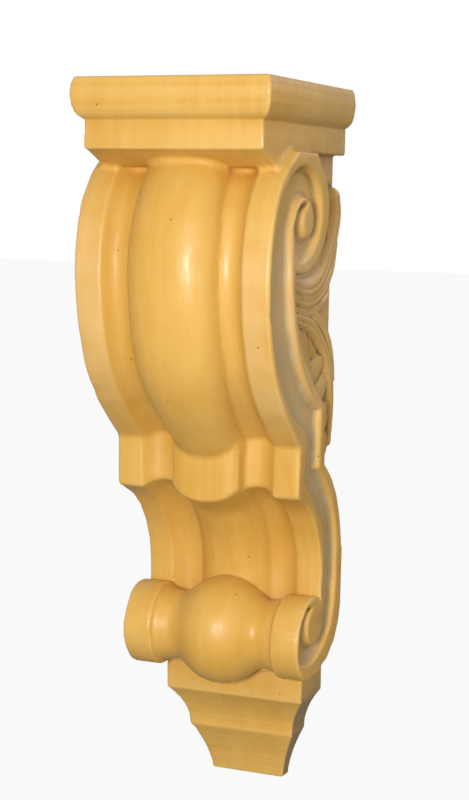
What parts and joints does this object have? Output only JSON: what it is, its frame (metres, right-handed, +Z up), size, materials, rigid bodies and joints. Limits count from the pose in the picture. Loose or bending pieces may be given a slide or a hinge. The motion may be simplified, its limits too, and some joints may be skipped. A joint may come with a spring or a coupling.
{
  "type": "resin corbel",
  "caption": "Scrolled wall corbel in yellow resin: moulded cap, lobed front, leafy side scrolls, roll with a ball, tapered pendant.",
  "frame": {"origin": "Middle of the flat back, half way up, in the wall plane.", "axes": "X runs across the wall, +Y points into the wall, so the front faces -Y, and +Z is up."},
  "size_m": [0.0912, 0.1149, 0.33],
  "materials": {
    "resin": "satin"
  },
  "bodies": {
    "root": {"corbel": "resin"}
  },
  "joints": []
}
